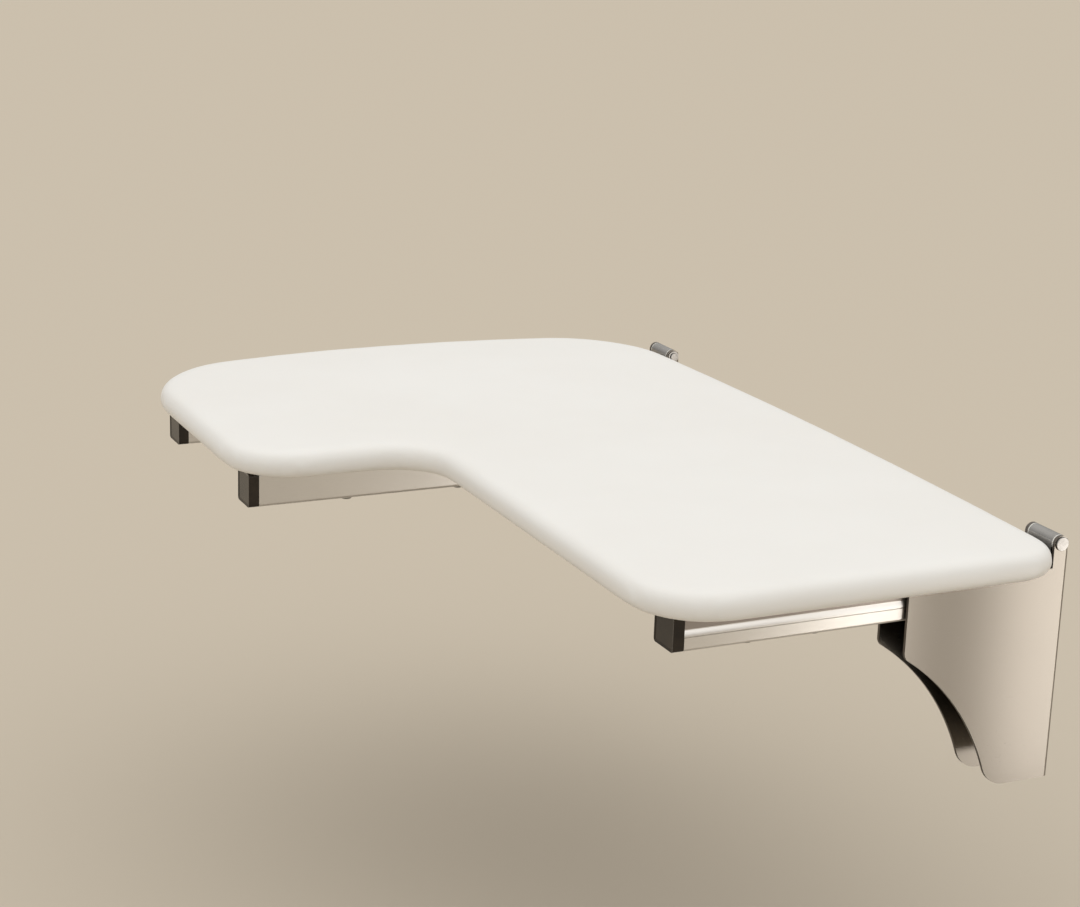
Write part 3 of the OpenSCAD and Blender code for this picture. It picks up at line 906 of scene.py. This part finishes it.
@dataclass
class TubeFrame:
    """Arms, end caps, cross rails and their welds."""

    shop: Workshop
    lip_height: float = 11.6 * MM
    groove_height: float = 0.9 * MM
    groove_depth: float = 0.8 * MM
    groove_slope: float = 0.2 * MM
    roll_height: float = 5.2 * MM
    roll_depth: float = 1.5 * MM
    roll_steps: int = 6
    roll_bend: float = 1.3
    corner: float = 3.0 * MM
    wall: float = 1.6 * MM
    face_inset: float = 2.2 * MM
    face_recess: float = 0.8 * MM
    weld_radius: float = 1.5 * MM
    weld_steps: int = 64
    weld_ripple: float = 0.16
    ripple_points: float = 4.0
    weld_sink: float = 0.3
    rail_corner: float = 2.5 * MM

    def build(self) -> None:
        """Builds the frame's pieces."""
        self.arm("arm_near", "near_arm_tube", 1.0)
        self.arm("arm_middle", "middle_arm_tube", 0.0)
        self.arm("arm_far", "far_arm_tube", -1.0)
        for place in ("near", "middle", "far"):
            self.cap(f"end_cap_{place}", f"arm_plug_{place}")
        for place in ("rear", "front", "leg"):
            self.shop.refine(
                f"cross_rail_{place}", f"{place}_rail_tube", Body.SEAT, Slot.FRAME,
                self.shop.finishes.rail_steel, 0.25 * MM,
            )
            self.rail_welds(place)

    def outline(self) -> list[tuple[float, float]]:
        """Gives the rolled side's outline.

        Returns:
            Heights above the arm's underside, each with how far the side lies in from its full width.
        """
        groove_floor = self.lip_height + self.groove_slope
        roll_start = self.lip_height + self.groove_height + 2 * self.groove_slope
        points = [
            (self.lip_height, 0.0),
            (groove_floor, self.groove_depth),
            (groove_floor + self.groove_height, self.groove_depth),
        ]
        for step in range(self.roll_steps + 1):
            share = step / self.roll_steps
            points.append((
                roll_start + self.roll_height * share, self.roll_depth * share**self.roll_bend
            ))
        return points

    def arm(self, node: str, name: str, rolled_side: float) -> None:
        """Builds an arm tube, with its outer side rolled on a hinged arm.

        Args:
            node: The arm's frame node.
            name: The piece's name.
            rolled_side: 1 or -1 for the side along X that is rolled, 0 for none.
        """
        low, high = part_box(node)
        tube = self.shop.copy(node, name, self.shop.finishes.tube_steel, self.shop.finishes.painted_shade_steel)
        if rolled_side:
            self.roll(tube, low, high, rolled_side)
        round_edges(tube, 0.2 * MM, steps=2, limit=50.0)
        smooth(tube, 32.0)
        self.shop.hand_over(tube, Body.SEAT, Slot.FRAME, node)

    def roll(self, tube: bpy.types.Object, low: Vector, high: Vector, side: float) -> None:
        """Rolls a lip, a groove and a shoulder into one side of a tube, and paints shade on that side above
        the shoulder with the darker steel.

        Args:
            tube: The tube.
            low: Its lowest corner.
            high: Its highest corner.
            side: 1 for the side towards +X, -1 for the side towards -X.
        """
        middle = (low.x + high.x) / 2
        half = (high.x - low.x) / 2
        skin_from = half - self.wall / 2
        points = self.outline()
        near = 0.01 * MM
        with editing(tube):
            for height, _ in points:
                bpy.ops.mesh.select_all(action="SELECT")
                bpy.ops.mesh.bisect(plane_co=(middle, 0.0, low.z + height), plane_no=(0.0, 0.0, 1.0))
            for height, inset in points[:-1]:
                level = low.z + height
                pick_points(tube, lambda place, level=level: (
                    abs(place.z - level) < near and side * (place.x - middle) > skin_from
                ))
                if inset:
                    bpy.ops.transform.translate(value=(-side * inset, 0.0, 0.0))
            top, inset = points[-1]
            ceiling = high.z - self.wall + near
            pick_points(tube, lambda place: place.z > low.z + top - near and (
                side * (place.x - middle) > skin_from
                or (place.z > ceiling and side * (place.x - middle) > half - self.corner + near)
            ))
            share = (half - inset) / half
            bpy.ops.transform.resize(value=(share, 1.0, 1.0), center_override=(middle, 0.0, 0.0))
        # Painted shade: the recessed flat above the shoulder takes the darker steel, which stands in for
        # the shade under the pad's overhang.
        with editing(tube, "FACE"):
            pick_faces(tube, lambda centre, normal: (
                side * normal.x > 0.7 and side * (centre.x - middle) > skin_from - inset
                and centre.z > low.z + top
            ))
            tube.active_material_index = 1
            bpy.ops.object.material_slot_assign()

    def cap(self, node: str, name: str) -> None:
        """Builds an end cap with a rounded head and a sunk panel in its face.

        Args:
            node: The cap's frame node.
            name: The piece's name.
        """
        low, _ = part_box(node)
        cap = self.shop.copy(node, name, self.shop.finishes.black_plastic)
        with editing(cap, "FACE"):
            pick_faces(cap, lambda centre, normal: normal.y < -0.9 and centre.y < low.y + 0.01 * MM)
            bpy.ops.mesh.inset(thickness=self.face_inset)
            bpy.ops.transform.translate(value=(0.0, self.face_recess, 0.0))
            bpy.ops.mesh.inset(thickness=self.face_recess / 2)
        round_edges(cap, 0.3 * MM)
        smooth(cap)
        self.shop.hand_over(cap, Body.SEAT, Slot.BLACK, node)

    def bead(self, name: str, path: Sequence[Vector], radius: float) -> bpy.types.Object:
        """Makes a rippled weld bead along a line of points.

        Args:
            name: The bead's name.
            path: The points that it follows.
            radius: Its mean radius.

        Returns:
            The bead, as a mesh.
        """
        line = bpy.data.curves.new(name, "CURVE")
        line.dimensions = "3D"
        spline = line.splines.new("POLY")
        spline.points.add(len(path) - 1)
        for k, place in enumerate(path):
            spline.points[k].co = (*place, 1.0)
            turn = 2.0 * math.pi * k / self.ripple_points
            spline.points[k].radius = 1.0 + self.weld_ripple * math.cos(turn)
        line.bevel_depth = radius
        line.bevel_resolution = 2
        line.use_fill_caps = True
        bead = bpy.data.objects.new(name, line)
        bpy.context.scene.collection.objects.link(bead)
        focus(bead)
        bpy.ops.object.convert(target="MESH")
        bead = bpy.context.view_layer.objects.active
        bpy.ops.object.shade_smooth()
        return bead

    def rail_welds(self, place: str) -> None:
        """Makes the two welds that join a cross rail to its arms, round its sides and underside.

        Args:
            place: Which rail: rear, front or leg.
        """
        low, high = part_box(f"cross_rail_{place}")
        half = (high.y - low.y) / 2
        middle = (low.y + high.y) / 2
        start = high.z - 2.0 * self.weld_radius
        corner, bend = self.rail_corner, 0.3 * self.rail_corner
        rear_half = [
            (start, half), (low.z + corner, half), (low.z + bend, half - bend), (low.z, half - corner)
        ]
        round_rail = [(z, -y) for z, y in rear_half] + rear_half[::-1]
        beads = []
        for end, inward in ((low.x, 1.0), (high.x, -1.0)):
            x = end + inward * self.weld_sink * self.weld_radius
            path = [Vector((x, middle + y, z)) for z, y in round_rail]
            beads.append(self.bead(f"weld_{place}", spaced(path, self.weld_steps), self.weld_radius))
        weld = join_all(beads, f"{place}_rail_welds")
        self.shop.dress(weld, self.shop.finishes.weld_steel)
        self.shop.hand_over(weld, Body.SEAT, Slot.FRAME)


def spaced(path: Sequence[Vector], count: int) -> list[Vector]:
    """Spaces points evenly along a line.

    Args:
        path: The line's corners.
        count: How many points to give.

    Returns:
        The points, from end to end.
    """
    lengths = [0.0]
    for a, b in zip(path, path[1:]):
        lengths.append(lengths[-1] + (b - a).length)
    points = []
    for k in range(count):
        want = lengths[-1] * k / (count - 1)
        step = max(i for i in range(len(path) - 1) if lengths[i] <= want + 1e-12)
        share = (want - lengths[step]) / (lengths[step + 1] - lengths[step])
        points.append(path[step].lerp(path[step + 1], share))
    return points


# ----------------------------------------
# Brackets and hinges
# ----------------------------------------


@dataclass
class WallBracket:
    """One wall bracket with its rest bar and rest pad, and the hinge that the bracket carries."""

    shop: Workshop
    side: Side
    bend_radius: float = 4.5 * MM
    edge_width: float = 0.45 * MM
    ear_reach: float = 20.0 * MM

    def build(self) -> None:
        """Builds the bracket's pieces."""
        end = self.side.value
        finishes = self.shop.finishes
        self.channel()
        for node, name, body, slot, material, width in (
            ("rest_bar", "stop_bar", Body.WALL, Slot.BRACKET, finishes.sheet_steel, 0.6 * MM),
            ("rest_pad", "stop_pad", Body.WALL, Slot.NYLON, finishes.nylon, 0.8 * MM),
            ("hinge_block", "knuckle", Body.SEAT, Slot.MACHINED, finishes.machined_steel, 0.4 * MM),
            ("hinge_pin", "pivot_pin", Body.WALL, Slot.MACHINED, finishes.machined_steel, 0.45 * MM),
            ("pin_clip", "ring_clip", Body.WALL, Slot.MACHINED, finishes.machined_steel, 0.15 * MM),
        ):
            self.shop.refine(f"{node}_{end}", f"{name}_{end}", body, slot, material, width)
        self.shop.keep(f"bushes_{end}", finishes.nylon)

    def channel(self) -> None:
        """Builds the bent sheet, with dark cut edges and bare faces."""
        node = f"wall_bracket_{self.side.value}"
        low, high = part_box(node)
        channel = self.shop.copy(
            node, f"bracket_channel_{self.side.value}",
            self.shop.finishes.sheet_steel, self.shop.finishes.cut_edge,
        )
        with editing(channel, "FACE"):
            pick_faces(channel, lambda centre, normal: abs(normal.x) < 0.3 and (
                centre.y < high.y - self.bend_radius or centre.z > high.z - self.ear_reach
            ))
            channel.active_material_index = 1
            bpy.ops.object.material_slot_assign()
        round_edges(channel, self.edge_width)
        smooth(channel)
        self.shop.hand_over(channel, Body.WALL, Slot.BRACKET, node)


# ----------------------------------------
# Fasteners
# ----------------------------------------


@dataclass
class Fasteners:
    """Seat bolts, washers, tee nuts and the screws in the hinge blocks."""

    shop: Workshop
    head_height: float = 3.5 * MM
    head_radius: float = 5.5 * MM
    dome: float = 2.0 * MM
    socket_radius: float = 2.3 * MM
    socket_depth: float = 2.2 * MM
    bolt_radius: float = 3.0 * MM
    bolt_point: float = 0.6 * MM
    screw_head_radius: float = 4.0 * MM
    screw_head_height: float = 2.2 * MM
    screw_dome: float = 1.1 * MM
    screw_radius: float = 2.0 * MM
    recess_width: float = 1.1 * MM
    recess_length: float = 4.6 * MM
    recess_depth: float = 1.4 * MM
    shank_overlap: float = 0.2 * MM
    level: float = 0.05 * MM

    def build(self) -> None:
        """Builds the fasteners."""
        self.seat_bolts()
        self.shop.refine(
            "bolt_washers", "flat_washers", Body.SEAT, Slot.MACHINED,
            self.shop.finishes.machined_steel, 0.25 * MM,
        )
        self.shop.keep("tee_nuts", self.shop.finishes.machined_steel)
        for end in Side:
            self.block_screws(end)

    def centres(self, node: str, reach: float) -> list[Vector]:
        """Finds the fasteners of one node.

        Args:
            node: The frame node.
            reach: Points that are closer than this in plan belong to one fastener.

        Returns:
            The middle of each fastener's lowest ring.
        """
        low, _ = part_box(node)
        places: list[list[Vector]] = []
        for vertex in self.shop.frame["nodes"][node].data.vertices:
            if vertex.co.z > low.z + self.level:
                continue
            home = next((ring for ring in places if (ring[0] - vertex.co).length < reach), None)
            if home is None:
                places.append([vertex.co.copy()])
            else:
                home.append(vertex.co.copy())
        middles = []
        for ring in places:
            xs, ys = [p.x for p in ring], [p.y for p in ring]
            middles.append(Vector(((min(xs) + max(xs)) / 2, (min(ys) + max(ys)) / 2, low.z)))
        return sorted(middles, key=lambda p: (round(p.x, 4), round(p.y, 4)))

    def head(self, radius: float, height: float, dome: float, at: Vector) -> bpy.types.Object:
        """Makes a round head that hangs under a surface, domed below.

        Args:
            radius: The head's radius.
            height: The head's height.
            dome: How far its rounding reaches.
            at: The middle of its lowest face.

        Returns:
            The head.
        """
        bpy.ops.object.select_all(action="DESELECT")
        bpy.ops.mesh.primitive_cylinder_add(
            vertices=48, radius=radius, depth=height, location=at + Vector((0.0, 0.0, height / 2))
        )
        head = bpy.context.view_layer.objects.active
        settle(head, "head")
        with editing(head, "FACE"):
            pick_faces(head, lambda centre, normal: normal.z < -0.9)
            bpy.ops.mesh.bevel(offset=dome, segments=6, affect="EDGES", profile=0.5)
        return head

    def seat_bolts(self) -> None:
        """Makes one button-head bolt with a hexagon socket and copies it to every place."""
        low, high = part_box("seat_bolts")
        spots = self.centres("seat_bolts", 3.0 * self.head_radius)
        first = self.head(self.head_radius, self.head_height, self.dome, spots[0])
        bpy.ops.mesh.primitive_cylinder_add(
            vertices=6, radius=self.socket_radius, depth=2.0 * self.socket_depth, location=spots[0]
        )
        cut_out(first, bpy.context.view_layer.objects.active)
        shank_from = low.z + self.head_height - self.shank_overlap
        shank = self.shank(self.bolt_radius, 32, spots[0], shank_from, high.z)
        with editing(shank, "FACE"):
            pick_faces(shank, lambda centre, normal: normal.z > 0.9)
            bpy.ops.mesh.bevel(offset=self.bolt_point, segments=2, affect="EDGES")
        self.set_out([first, shank], "seat_bolt", "seat_bolts", spots)

    def shank(
        self, radius: float, sides: int, spot: Vector, bottom: float, top: float
    ) -> bpy.types.Object:
        """Makes a round shank.

        Args:
            radius: Its radius.
            sides: How many sides it has.
            spot: A point on its axis.
            bottom: The height where it starts.
            top: The height where it ends.

        Returns:
            The shank.
        """
        bpy.ops.object.select_all(action="DESELECT")
        bpy.ops.mesh.primitive_cylinder_add(
            vertices=sides, radius=radius, depth=top - bottom,
            location=(spot.x, spot.y, (top + bottom) / 2),
        )
        return bpy.context.view_layer.objects.active

    def set_out(
        self, parts: Sequence[bpy.types.Object], name: str, node: str, spots: Sequence[Vector]
    ) -> None:
        """Joins the first fastener's parts and copies it to every place.

        Args:
            parts: The parts of the first fastener.
            name: What each fastener's name starts with.
            node: The frame node that they stand for.
            spots: Their places, the first fastener's own place first.
        """
        first = join_all(parts, f"{name}_1")
        smooth(first, 30.0)
        pieces = [first] + [copy_at(first, spot - spots[0]) for spot in spots[1:]]
        for number, piece in enumerate(pieces, 1):
            settle(piece, f"{name}_{number}")
            self.shop.dress(piece, self.shop.finishes.machined_steel)
            self.shop.hand_over(piece, Body.SEAT, Slot.MACHINED, node)

    def block_screws(self, end: Side) -> None:
        """Makes the cross-recessed pan heads under one hinge block.

        Args:
            end: Which hinge block.
        """
        node = f"block_screws_{end.value}"
        _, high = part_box(node)
        spots = self.centres(node, 2.0 * self.screw_head_radius)
        first = self.head(self.screw_head_radius, self.screw_head_height, self.screw_dome, spots[0])
        for turn in (0.0, 90.0):
            bpy.ops.mesh.primitive_cube_add(
                size=1.0, location=spots[0], rotation=(0.0, 0.0, math.radians(turn))
            )
            cutter = bpy.context.view_layer.objects.active
            cutter.scale = (self.recess_length, self.recess_width, 2.0 * self.recess_depth)
            settle(cutter, "recess")
            cut_out(first, cutter)
        shank_from = spots[0].z + self.screw_head_height - self.shank_overlap
        shank = self.shank(self.screw_radius, 24, spots[0], shank_from, high.z)
        self.set_out([first, shank], f"block_screw_{end.value}", node, spots)


# ----------------------------------------
# Stage
# ----------------------------------------


@dataclass(frozen=True)
class Panel:
    """A soft panel that shows only as a reflection."""

    name: str
    place: Triple
    size: tuple[float, float]
    aim: Triple
    radiance: float
    colour: Colour = (1.0, 0.965, 0.92)

    def build(self) -> None:
        """Hangs the panel at its place, facing the point that it aims at."""
        panel = bpy.data.objects.new(self.name, bpy.data.lights.new(self.name, "AREA"))
        bpy.context.scene.collection.objects.link(panel)
        panel.location = self.place
        panel.rotation_mode = "QUATERNION"
        panel.rotation_quaternion = (Vector(self.aim) - Vector(self.place)).to_track_quat("-Z", "Y")
        panel.data.shape = "RECTANGLE"
        panel.data.size, panel.data.size_y = self.size
        panel.data.energy = self.radiance * math.pi * self.size[0] * self.size[1]
        panel.data.color = self.colour
        panel.visible_camera = False
        panel.visible_diffuse = False


@dataclass
class Stage:
    """Floor, soft light and camera."""

    floor_height: float = -0.317
    floor_size: float = 80.0
    floor_colour: Colour = (0.58, 0.515, 0.425)
    floor_roughness: float = 0.8
    floor_specular: float = 0.0
    sky_colour: Colour = (1.0, 0.985, 0.95)
    horizon: float = 0.42
    zenith: float = 1.34
    target: Triple = (0.0039, -0.3203, 0.143)
    azimuth: float = 64.55
    elevation: float = 15.98
    roll: float = 1.92
    distance: float = 2.1156
    lens: float = 77.63

    def build(self) -> None:
        """Builds the stage."""
        self.camera()
        self.floor()
        self.lights()
        bpy.context.scene.view_settings.view_transform = "Standard"

    def camera(self) -> None:
        """Places the camera."""
        turn, rise = math.radians(self.azimuth), math.radians(self.elevation)
        back = Vector((
            math.sin(turn) * math.cos(rise), -math.cos(turn) * math.cos(rise), math.sin(rise)
        ))
        camera = bpy.data.objects.new("camera", bpy.data.cameras.new("camera"))
        bpy.context.scene.collection.objects.link(camera)
        camera.data.lens = self.lens
        camera.data.clip_start = 0.05
        camera.data.clip_end = 300.0
        tilt = Matrix.Rotation(math.radians(self.roll), 3, "Z")
        facing = (-back).to_track_quat("-Z", "Y").to_matrix() @ tilt
        camera.rotation_mode = "QUATERNION"
        camera.rotation_quaternion = facing.to_quaternion()
        camera.location = Vector(self.target) + self.distance * back
        bpy.context.scene.camera = camera

    def floor(self) -> None:
        """Lays a plain pale floor."""
        bpy.ops.object.select_all(action="DESELECT")
        bpy.ops.mesh.primitive_plane_add(size=self.floor_size, location=(0.0, 0.0, self.floor_height))
        floor = settle(bpy.context.view_layer.objects.active, "floor")
        material = bpy.data.materials.new("pale_floor")
        material.use_nodes = True
        shader = material.node_tree.nodes["Principled BSDF"]
        shader.inputs["Base Color"].default_value = (*self.floor_colour, 1.0)
        shader.inputs["Roughness"].default_value = self.floor_roughness
        shader.inputs["Specular IOR Level"].default_value = self.floor_specular
        floor.data.materials.append(material)

    def lights(self) -> None:
        """Sets a dome that brightens upwards, and three panels for the metal to reflect."""
        world = bpy.data.worlds.new("studio")
        bpy.context.scene.world = world
        world.use_nodes = True
        wiring = Wiring(world.node_tree)
        background = world.node_tree.nodes["Background"]
        background.inputs["Color"].default_value = (*self.sky_colour, 1.0)
        around = wiring.add("ShaderNodeTexCoord").outputs["Generated"]
        upwards = wiring.add("ShaderNodeSeparateXYZ", {0: around})
        strength = wiring.spread(upwards.outputs["Z"], 0.0, 1.0, self.horizon, self.zenith)
        wiring.feed(background, "Strength", strength)
        for panel in (
            Panel("bracket_panel", (0.74, 0.4, -0.08), (0.36, 0.46), (0.36, 0.4, -0.08), 2.6),
            Panel("bracket_front_panel", (0.74, 0.055, -0.08), (0.07, 0.46), (0.36, 0.055, -0.08), 3.0),
            Panel("tube_panel", (2.3, 0.85, 0.72), (1.6, 0.8), (0.35, -0.2, 0.1), 1.0),
        ):
            panel.build()


def main() -> None:
    """Builds the seat around its frame, dresses it and lights it."""
    logging.basicConfig(level=logging.INFO, format="%(message)s")
    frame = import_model()
    Stage().build()
    shop = Workshop(frame, Finishes(Groups()))
    SeatTop(shop).build()
    TubeFrame(shop).build()
    for side in Side:
        WallBracket(shop, side).build()
    Fasteners(shop).build()


if __name__ == "__main__":
    main()
